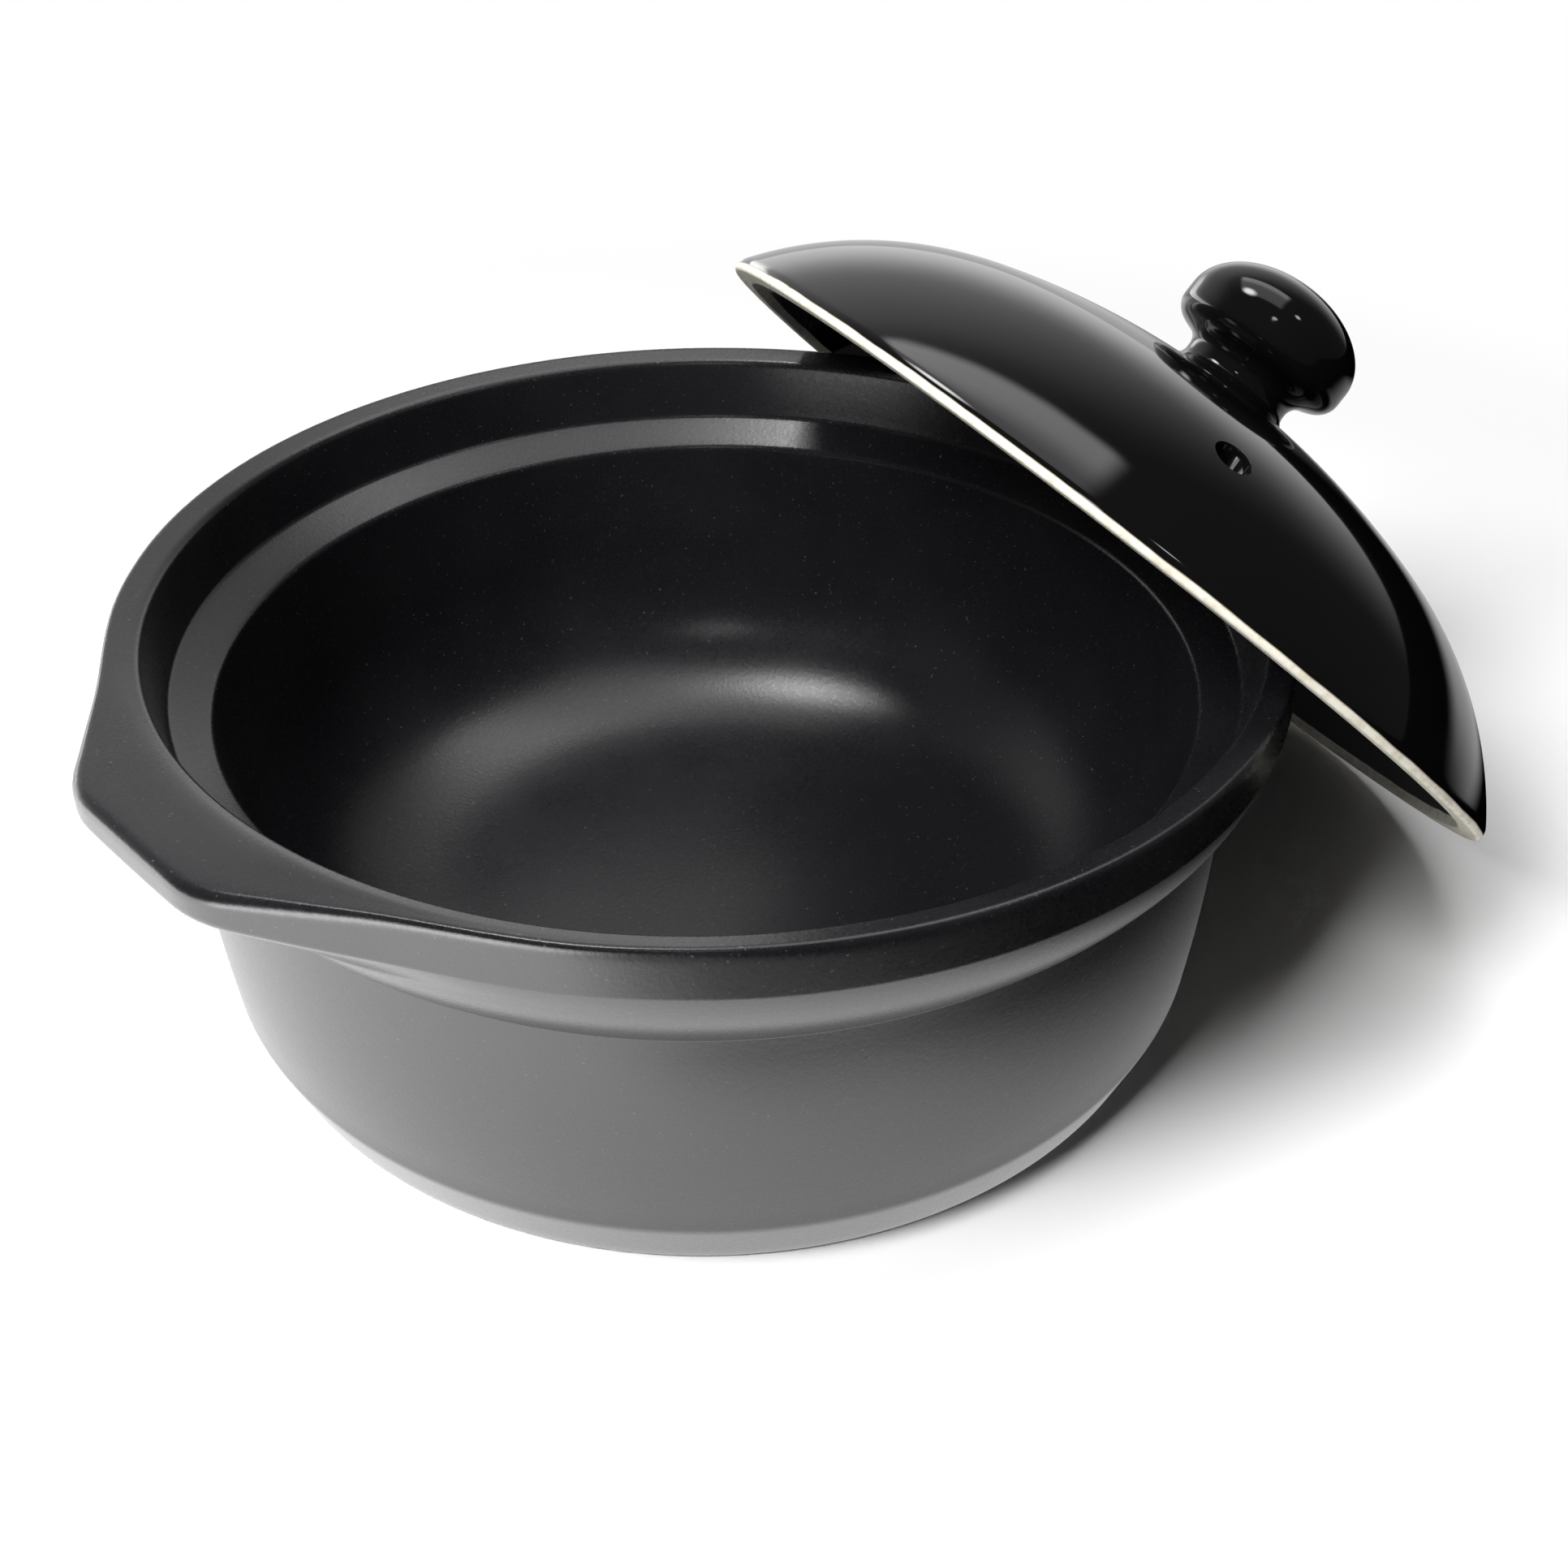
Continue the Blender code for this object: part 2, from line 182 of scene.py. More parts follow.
class Bench:
    """The turning bench: makes meshes in edit mode from outlines and finishes their objects."""

    @staticmethod
    def clear_selection() -> None:
        """Deselects every object, the frame's nodes as well."""
        bpy.ops.object.select_all(action="DESELECT")

    @staticmethod
    def pick(piece: bpy.types.Object) -> None:
        """Makes a piece the only one selected, and the active one.

        Args:
            piece: The piece.
        """
        Bench.clear_selection()
        piece.select_set(True)
        bpy.context.view_layer.objects.active = piece

    @staticmethod
    def turned(name: str, points: Sequence[Vector], steps: int) -> bpy.types.Object:
        """Turns an outline about the Z axis.

        Args:
            name: Name of the new piece.
            points: The outline from one pole to the other, in millimetres.
            steps: Number of steps round the axis.

        Returns:
            The closed piece, with its faces pointing out.
        """
        Bench.clear_selection()
        start = Vector((points[0].x, 0, points[0].y)) * MM
        bpy.ops.mesh.primitive_circle_add(vertices=3, radius=MM, location=start)
        piece = bpy.context.object
        piece.name = name
        bpy.ops.object.transform_apply(location=True, rotation=True, scale=True)
        bpy.ops.object.mode_set(mode="EDIT")
        bpy.ops.mesh.select_all(action="SELECT")
        bpy.ops.mesh.merge(type="CENTER")
        for here, there in zip(points, points[1:]):
            step = Vector((there.x - here.x, 0, there.y - here.y)) * MM
            bpy.ops.mesh.extrude_vertices_move(TRANSFORM_OT_translate={"value": step})
        bpy.ops.mesh.select_all(action="SELECT")
        bpy.ops.mesh.spin(steps=steps, angle=math.tau, center=(0, 0, 0), axis=(0, 0, 1))
        bpy.ops.mesh.select_all(action="SELECT")
        bpy.ops.mesh.remove_doubles(threshold=MERGE_DISTANCE)
        bpy.ops.mesh.normals_make_consistent(inside=False)
        bpy.ops.object.mode_set(mode="OBJECT")
        return piece

    @staticmethod
    def moved(piece: bpy.types.Object, place: Callable[[Vector], Vector]) -> None:
        """Moves each vertex of a piece to where a rule puts it.

        Args:
            piece: The piece to reshape.
            place: Gives a vertex's new place, in millimetres, from its old one.
        """
        Bench.pick(piece)
        bpy.ops.object.mode_set(mode="EDIT")
        mesh = bmesh.from_edit_mesh(piece.data)
        for vertex in mesh.verts:
            vertex.co = place(vertex.co / MM) * MM
        mesh.normal_update()
        bmesh.update_edit_mesh(piece.data)
        bpy.ops.object.mode_set(mode="OBJECT")

    @staticmethod
    def drilled(piece: bpy.types.Object, cutter: bpy.types.Object) -> None:
        """Cuts a cutter's shape out of a piece and removes the cutter.

        Args:
            piece: The piece to cut.
            cutter: The closed shape that is cut out of it.
        """
        Bench.pick(piece)
        cut = piece.modifiers.new("drilled", "BOOLEAN")
        cut.operation = "DIFFERENCE"
        cut.solver = "EXACT"
        cut.object = cutter
        bpy.ops.object.modifier_apply(modifier=cut.name)
        bpy.data.objects.remove(cutter)

    @staticmethod
    def placed(piece: bpy.types.Object, place: Matrix) -> None:
        """Turns and moves a piece, and keeps its place in its mesh.

        Args:
            piece: The piece.
            place: Where its own origin and axes come to stand, in metres.
        """
        Bench.pick(piece)
        piece.matrix_world = place
        bpy.ops.object.transform_apply(location=True, rotation=True, scale=True)

    @staticmethod
    def finished(piece: bpy.types.Object, finish: bpy.types.Material, smooth_to: float) -> None:
        """Shades a piece smooth up to an angle and gives it its finish.

        Args:
            piece: The piece.
            finish: Its material.
            smooth_to: Widest angle in degrees between faces that shade as one.
        """
        Bench.pick(piece)
        bpy.ops.object.shade_smooth_by_angle(angle=math.radians(smooth_to))
        piece.data.materials.clear()
        piece.data.materials.append(finish)


class Socket:
    """Output of a shader node that is worked with as a number or a colour in Python."""

    def __init__(self, sheet: "NodeSheet", output: bpy.types.NodeSocket) -> None:
        """Keeps the sheet that the node is on and its output."""
        self.sheet = sheet
        self.output = output

    def _maths(self, operation: str, *values: Any) -> "Socket":
        """Math node of an operation on some values."""
        return self.sheet.node("ShaderNodeMath", {"operation": operation}, dict(enumerate(values)))

    def __add__(self, other: Any) -> "Socket":
        """Sum."""
        return self._maths("ADD", self, other)

    def __radd__(self, other: Any) -> "Socket":
        """Sum."""
        return self._maths("ADD", other, self)

    def __sub__(self, other: Any) -> "Socket":
        """Difference."""
        return self._maths("SUBTRACT", self, other)

    def __rsub__(self, other: Any) -> "Socket":
        """Difference."""
        return self._maths("SUBTRACT", other, self)

    def __mul__(self, other: Any) -> "Socket":
        """Product."""
        return self._maths("MULTIPLY", self, other)

    def __rmul__(self, other: Any) -> "Socket":
        """Product."""
        return self._maths("MULTIPLY", other, self)

    def __truediv__(self, other: Any) -> "Socket":
        """Quotient."""
        return self._maths("DIVIDE", self, other)

    def __rtruediv__(self, other: Any) -> "Socket":
        """Quotient."""
        return self._maths("DIVIDE", other, self)

    def __pow__(self, other: Any) -> "Socket":
        """Power."""
        return self._maths("POWER", self, other)

    def lowest(self, other: Any) -> "Socket":
        """Lower of two values."""
        return self._maths("MINIMUM", self, other)

    def highest(self, other: Any) -> "Socket":
        """Higher of two values."""
        return self._maths("MAXIMUM", self, other)

    def stepped(self, low: float, high: float) -> "Socket":
        """Value that climbs smoothly from 0 to 1 between two levels, or falls where low is high."""
        return self.sheet.node(
            "ShaderNodeMapRange",
            {"interpolation_type": "SMOOTHSTEP", "clamp": True},
            {"Value": self, "From Min": low, "From Max": high, "To Min": 0.0, "To Max": 1.0},
        )


class NodeSheet:
    """Node tree of a material or a world, with the few moves that the finishes need."""

    def __init__(self, tree: bpy.types.NodeTree) -> None:
        """Keeps the node tree and clears it."""
        self.tree = tree
        self.tree.nodes.clear()

    def node(
        self,
        kind: str,
        settings: dict[str, Any] | None = None,
        inputs: dict[str | int, Any] | None = None,
        output: str | int = 0,
    ) -> Socket:
        """Adds a node.

        Args:
            kind: The node's type.
            settings: Its own settings, such as a Math node's operation, which are set first.
            inputs: Values or sockets for its inputs, by name or number.
            output: The output that is wanted.

        Returns:
            That output.
        """
        made = self.tree.nodes.new(kind)
        for key, value in (settings or {}).items():
            setattr(made, key, value)
        for key, value in (inputs or {}).items():
            if isinstance(value, Socket):
                self.tree.links.new(value.output, made.inputs[key])
            else:
                made.inputs[key].default_value = value
        return Socket(self, made.outputs[output] if made.outputs else None)

    def object_coordinates(self) -> Socket:
        """Object coordinates of the piece."""
        return self.node("ShaderNodeTexCoord", output="Object")

    def mapped(self, place: Matrix) -> Socket:
        """Object coordinates as seen from a place on the object.

        Args:
            place: Where the pattern's own origin and axes stand, in metres.

        Returns:
            The coordinates.
        """
        coordinates = self.object_coordinates()
        back = place.inverted()
        return self.node(
            "ShaderNodeMapping",
            {"vector_type": "POINT"},
            {
                "Vector": coordinates,
                "Location": back.to_translation(),
                "Rotation": back.to_euler(),
            },
        )

    def split(self, vector: Socket) -> tuple[Socket, Socket, Socket]:
        """X, Y and Z of a vector."""
        node = self.node("ShaderNodeSeparateXYZ", inputs={0: vector}).output.node
        return tuple(Socket(self, node.outputs[n]) for n in range(3))

    def noise(self, vector: Socket, scale: float, detail: float = 2.0, rough: float = 0.5) -> Socket:
        """Noise from 0 to 1 on some coordinates.

        Args:
            vector: The coordinates.
            scale: Number of its waves in a metre.
            detail: Number of finer layers.
            rough: Strength of the finer layers.

        Returns:
            The noise.
        """
        return self.node(
            "ShaderNodeTexNoise",
            inputs={"Vector": vector, "Scale": scale, "Detail": detail, "Roughness": rough},
        )

    def mixed(self, factor: Any, first: Any, second: Any) -> Socket:
        """Colour between two colours."""
        return self.node(
            "ShaderNodeMix",
            {"data_type": "RGBA"},
            {0: factor, 6: first, 7: second},
            output=2,
        )

    def bumped(self, height: Socket, depth: float) -> Socket:
        """Normal of a surface with a relief from 0 to 1 of a depth in metres."""
        return self.node("ShaderNodeBump", inputs={"Height": height, "Distance": depth, "Strength": 1.0})

    def glow(self, level: Any) -> Socket:
        """Shader of a grey glow at a level that may change over the surface."""
        return self.node("ShaderNodeEmission", inputs={"Color": level, "Strength": 1.0})

    def mixed_shaders(self, factor: Any, first: Socket, second: Socket) -> Socket:
        """Shader between two shaders."""
        return self.node("ShaderNodeMixShader", inputs={0: factor, 1: first, 2: second})

    def surfaced(self, shader: Socket) -> None:
        """Makes a shader the material's surface."""
        self.node("ShaderNodeOutputMaterial", inputs={"Surface": shader})


def colour(red: float, green: float, blue: float) -> tuple[float, float, float, float]:
    """Opaque colour for a shader's socket."""
    return (red, green, blue, 1.0)


def new_sheet(name: str) -> tuple[bpy.types.Material, NodeSheet]:
    """Adds a material.

    Args:
        name: Its name.

    Returns:
        The material and the sheet of its nodes.
    """
    made = bpy.data.materials.new(name)
    made.use_nodes = True
    return made, NodeSheet(made.node_tree)


def distance(x: Socket, y: Socket) -> Socket:
    """Distance of a place from the origin in a plane."""
    return (x * x + y * y) ** 0.5


def towards(x: Socket, y: Socket, heading: float) -> Socket:
    """How far a place in a plane lies towards a heading in degrees from +X."""
    return x * math.cos(math.radians(heading)) + y * math.sin(math.radians(heading))


@dataclass(frozen=True)
class CharcoalGlaze:
    """Satin charcoal glaze of the bowl, with a fine grain, light specks and a soft sheen.

    Scales count waves in a metre, and pairs are the levels between which a mask climbs.
    """

    dark: tuple = colour(0.0060, 0.0062, 0.0075)
    light: tuple = colour(0.012, 0.012, 0.0135)
    speck: tuple = colour(0.16, 0.16, 0.16)
    speck_scale: float = 1400.0
    speck_levels: tuple = (0.72, 0.78)
    speck_share: float = 0.4
    cloud_scale: float = 28.0
    cloud_levels: tuple = (0.3, 0.7)
    cloud_share: float = 0.6
    grain_scale: float = 1100.0
    grain_depth: float = 0.03 * MM
    roughness: float = 0.20
    grain_roughness: float = 0.10
    cloud_roughness: float = 0.06
    refraction: float = 1.65

    def material(self) -> bpy.types.Material:
        """Builds the material.

        Returns:
            The material.
        """
        made, sheet = new_sheet("pot_glaze_looks")
        place = sheet.object_coordinates()
        grain = sheet.noise(place, self.grain_scale, detail=3.0, rough=0.6)
        cloud = sheet.noise(place, self.cloud_scale, detail=3.0, rough=0.55)
        specks = sheet.noise(place, self.speck_scale, detail=1.0).stepped(*self.speck_levels)
        shade = cloud.stepped(*self.cloud_levels) * self.cloud_share + grain * (1 - self.cloud_share)
        body = sheet.mixed(shade, self.dark, self.light)
        shader = sheet.node(
            "ShaderNodeBsdfPrincipled",
            inputs={
                "Base Color": sheet.mixed(specks * self.speck_share, body, self.speck),
                "Roughness": grain * self.grain_roughness + cloud * self.cloud_roughness + self.roughness,
                "IOR": self.refraction,
                "Normal": sheet.bumped(grain, self.grain_depth),
            },
        )
        sheet.surfaced(shader)
        return made


@dataclass(frozen=True)
class GlossGlaze:
    """Gloss black glaze of the lid and the knob, with bare cream clay along the lid's lip.

    Heights and reaches are in metres in the lid's own frame, scales count waves in a metre, and
    pairs are the levels between which a mask climbs.

    Attributes:
        outer_height: Height up to which the lip is bare outside.
        inner_height: Height up to which it is bare inside.
        middle_reach: Reach at which the inside begins.
        inner_reach: Reach at which the bare clay begins.
    """

    black: tuple = colour(0.0035, 0.0035, 0.0035)
    roughness: float = 0.06
    ripple_scale: float = 45.0
    ripple_depth: float = 0.08 * MM
    clay: tuple = colour(0.92, 0.89, 0.77)
    clay_shade: tuple = colour(0.74, 0.69, 0.54)
    clay_roughness: float = 0.75
    mottle_scale: float = 420.0
    mottle_levels: tuple = (0.42, 0.72)
    rust: tuple = colour(0.22, 0.15, 0.08)
    rust_levels: tuple = (0.25 * MM, -0.3 * MM)
    rust_strength: float = 3.0
    rust_limit: float = 0.8
    outer_height: float = 1.6 * MM
    inner_height: float = 2.6 * MM
    middle_reach: float = 98.0 * MM
    middle_width: float = 0.3 * MM
    inner_reach: float = 94.5 * MM
    edge_softness: float = 0.1 * MM
    wave_scale: float = 90.0
    wave_height: float = 0.5 * MM

    def bare_clay(self, sheet: NodeSheet, own: Socket) -> tuple[Socket, Socket]:
        """Bare clay along the lip.

        Args:
            sheet: The material's sheet.
            own: Coordinates in the lid's own frame.

        Returns:
            The mask of where the clay is bare, and its colour.
        """
        x, y, z = sheet.split(own)
        reach = distance(x, y)
        wave = (sheet.noise(own, self.wave_scale) - 0.5) * self.wave_height
        inside = reach.stepped(self.middle_reach, self.middle_reach - self.middle_width)
        over = z + wave - inside * (self.inner_height - self.outer_height) - self.outer_height
        soft = self.edge_softness
        beyond = (reach + wave).stepped(self.inner_reach - soft, self.inner_reach + soft)
        near = over.stepped(*self.rust_levels)
        stain = (near * (1 - near) * self.rust_strength).lowest(self.rust_limit)
        mottle = sheet.noise(own, self.mottle_scale, detail=3.0, rough=0.6).stepped(*self.mottle_levels)
        clay = sheet.mixed(mottle, self.clay, self.clay_shade)
        return over.stepped(soft, -soft) * beyond, sheet.mixed(stain, clay, self.rust)

    def material(self, name: str, place: Matrix, bare_lip: bool) -> bpy.types.Material:
        """Builds the material.

        Args:
            name: Name of the material.
            place: Where the lid's own origin and axes stand.
            bare_lip: Whether the clay shows along the lip.

        Returns:
            The material.
        """
        made, sheet = new_sheet(name)
        own = sheet.mapped(place)
        surface: Any = self.black
        roughness: Any = self.roughness
        if bare_lip:
            bare, clay = self.bare_clay(sheet, own)
            surface = sheet.mixed(bare, self.black, clay)
            roughness = bare * (self.clay_roughness - self.roughness) + self.roughness
        shader = sheet.node(
            "ShaderNodeBsdfPrincipled",
            inputs={
                "Base Color": surface,
                "Roughness": roughness,
                "Normal": sheet.bumped(sheet.noise(own, self.ripple_scale, rough=0.4), self.ripple_depth),
            },
        )
        sheet.surfaced(shader)
        return made


@dataclass
class Pot:
    """The bowl with its rim, its ledge for the lid and its two lugs, turned as one surface.

    Lengths are in millimetres, and angles in degrees.

    Attributes:
        band_pieces: Pieces of the band's slope above the lugs' root, to match the lug's outline.
        lug_root_share: Share of the slope at which the lugs' underside leaves it.
        lug_end_angle: Angle past the foot of a flank where the lug has run out.
    """

    foot_radius: float = 99.0
    foot_recess: float = 0.8
    recess_radius: float = 86.0
    recess_wall: float = 2.5
    wall_foot_radius: float = 103.8
    wall_foot_height: float = 11.7
    wall_radius: float = 106.1
    wall_bulge: float = 0.9
    crease_height: float = 60.2
    band_step: float = 0.5
    band_bulge: float = 1.5
    band_foot_rounding: float = 0.6
    band_pieces: int = 11
    band_face_height: float = 78.0
    rim_radius: float = 116.2
    rim_top: float = 87.97
    rim_height: float = 87.5
    dish_start: float = 113.4
    rim_inner_radius: float = 110.0
    rim_inner_height: float = 86.2
    ledge_radius: float = 107.1
    ledge_back_height: float = 73.1
    ledge_height: float = 68.5
    bowl_radius: float = 99.0
    bowl_floor_radius: float = 90.5
    floor_height: float = 9.5
    floor_rounding: float = 42.0
    lug_reach: float = 11.5
    lug_thickness: float = 6.5
    lug_edge_rounding: float = 2.5
    lug_dish_drop: float = 0.05
    lug_half_edge: float = 20.0
    lug_flank_angle: float = 54.0
    lug_end_angle: float = 20.0
    lug_root_share: float = 0.38
    lug_corner_width: float = 4.0
    lug_tail_width: float = 3.0
    lug_turns: tuple = (0.0, 180.0)
    steps: int = 288
    smooth_to: float = 50.0

    def band(self) -> tuple[Corner, Corner, Corner]:
        """Corners of the band from its foot to its face, split where the lugs leave it.

        Returns:
            The foot, the split and the face of the band.
        """
        reach = self.wall_radius + self.band_step
        height = self.crease_height + self.band_step
        share = self.lug_root_share
        whole_foot = Corner(reach, height, bulge=-self.band_bulge)
        face = Corner(self.rim_radius, self.band_face_height, rounding=3.0)
        root = Side(whole_foot, face).point(share)
        foot = Corner(reach, height, self.band_foot_rounding, -self.band_bulge * share ** 2)
        split = Corner(root.x, root.y, 0.0, -self.band_bulge * (1 - share) ** 2, self.band_pieces)
        return foot, split, face

    def plain_outline(self) -> Outline:
        """Outline of the bowl between its lugs, from under the foot to the floor inside."""
        return Outline([*self.foot(), *self.band(), *self.plain_edge(), *self.inside()])

    def lug_outline(self) -> Outline:
        """Outline of the bowl through the middle of a lug.

        Returns:
            The outline, with as many points as the plain one.
        """
        band_foot, split, _ = self.band()
        tip = self.rim_radius + self.lug_reach
        underside = self.rim_height - self.lug_thickness
        lug = [
            Corner(split.reach, split.height, rounding=6.0),
            Corner(tip, underside, self.lug_edge_rounding),
            Corner(tip, self.rim_height, self.lug_edge_rounding),
            Corner(self.dish_start, self.rim_height - self.lug_dish_drop, rounding=4.0),
        ]
        return Outline([*self.foot(), band_foot, *lug, *self.inside()])

    def foot(self) -> list[Corner]:
        """Corners from the middle of the underside up to the crease under the band."""
        return [
            Corner(0.0, self.foot_recess, pieces=6),
            Corner(self.recess_radius, self.foot_recess, rounding=1.5, pieces=2),
            Corner(self.recess_radius + self.recess_wall, 0.0, rounding=0.5, pieces=3),
            Corner(self.foot_radius, 0.0, rounding=2.0),
            Corner(self.wall_foot_radius, self.wall_foot_height, 7.0, -self.wall_bulge, pieces=12),
            Corner(self.wall_radius, self.crease_height, rounding=0.4, pieces=1),
        ]

    def plain_edge(self) -> list[Corner]:
        """Corners of the rim's outer edge between the lugs.

        Returns:
            The edge's corner, and a corner in line where the lugs' flat top begins.
        """
        slope = (self.rim_top - self.rim_inner_height) / (self.rim_radius - self.rim_inner_radius)
        dish = self.rim_inner_height + slope * (self.dish_start - self.rim_inner_radius)
        return [
            Corner(self.rim_radius, self.rim_top, rounding=2.6),
            Corner(self.dish_start, dish, rounding=0.01),
        ]

    def inside(self) -> list[Corner]:
        """Corners from the rim's inner edge down over the ledge to the middle of the floor."""
        return [
            Corner(self.rim_inner_radius, self.rim_inner_height, rounding=2.2, pieces=6),
            Corner(self.ledge_radius, self.ledge_back_height, rounding=1.8),
            Corner(self.bowl_radius, self.ledge_height, rounding=2.0, pieces=6),
            Corner(self.bowl_floor_radius, self.floor_height, self.floor_rounding, pieces=12),
            Corner(0.0, self.floor_height),
        ]

    def lug_share(self, x: float, y: float) -> float:
        """How far out the rim runs at a place round it, from 0 plain to 1 at a lug's edge.

        Args:
            x: Place along X.
            y: Place along Y.

        Returns:
            The share, a little over 1 near a lug's corners.
        """
        def soft_least(a: float, b: float, width: float) -> float:
            """Lower of two values, blended over a width."""
            blend = max(width - abs(a - b), 0.0) / width
            return min(a, b) - blend * blend * width / 4

        flank = math.radians(self.lug_flank_angle)
        edge = self.rim_radius + self.lug_reach
        flank_distance = edge * math.sin(flank) + self.lug_half_edge * math.cos(flank)
        reach = self.rim_radius
        for turn in self.lug_turns:
            angle = abs(math.remainder(math.atan2(y, x) - math.radians(turn), math.tau))
            off_flank = angle - (math.pi / 2 - flank)
            if off_flank > math.radians(self.lug_end_angle):
                continue
            lean = math.cos(off_flank)
            side = flank_distance / lean if off_flank < 0 else flank_distance * lean
            outer = soft_least(edge / math.cos(angle), side, self.lug_corner_width)
            reach = max(reach, -soft_least(-self.rim_radius, -outer, self.lug_tail_width))
        return (reach - self.rim_radius) / self.lug_reach

    def build(self, finish: bpy.types.Material) -> bpy.types.Object:
        """Turns the bowl, draws its lugs out of the rim and dresses it.

        Args:
            finish: The bowl's material.

        Returns:
            The bowl.
        """
        plain = self.plain_outline().points()
        lug = self.lug_outline().points()
        piece = Bench.turned("pot", plain, self.steps)
        lookup = KDTree(len(plain))
        for index, point in enumerate(plain):
            lookup.insert((point.x, point.y, 0), index)
        lookup.balance()

        def drawn_out(place: Vector) -> Vector:
            """Place of a vertex once the lugs are drawn out.

            Args:
                place: Its place on the plain bowl.

            Returns:
                Its new place.
            """
            reach = math.hypot(place.x, place.y)
            if reach < self.bowl_radius:
                return place
            share = self.lug_share(place.x, place.y)
            if share <= 0:
                return place
            index = lookup.find((reach, place.z, 0))[1]
            shift = (lug[index] - plain[index]) * share
            scale = (reach + shift.x) / reach
            return Vector((place.x * scale, place.y * scale, place.z + shift.y))

        Bench.moved(piece, drawn_out)
        Bench.finished(piece, finish, self.smooth_to)
        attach(piece, "pot")
        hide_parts("pot_body", "lug_handle_left", "lug_handle_right")
        return piece


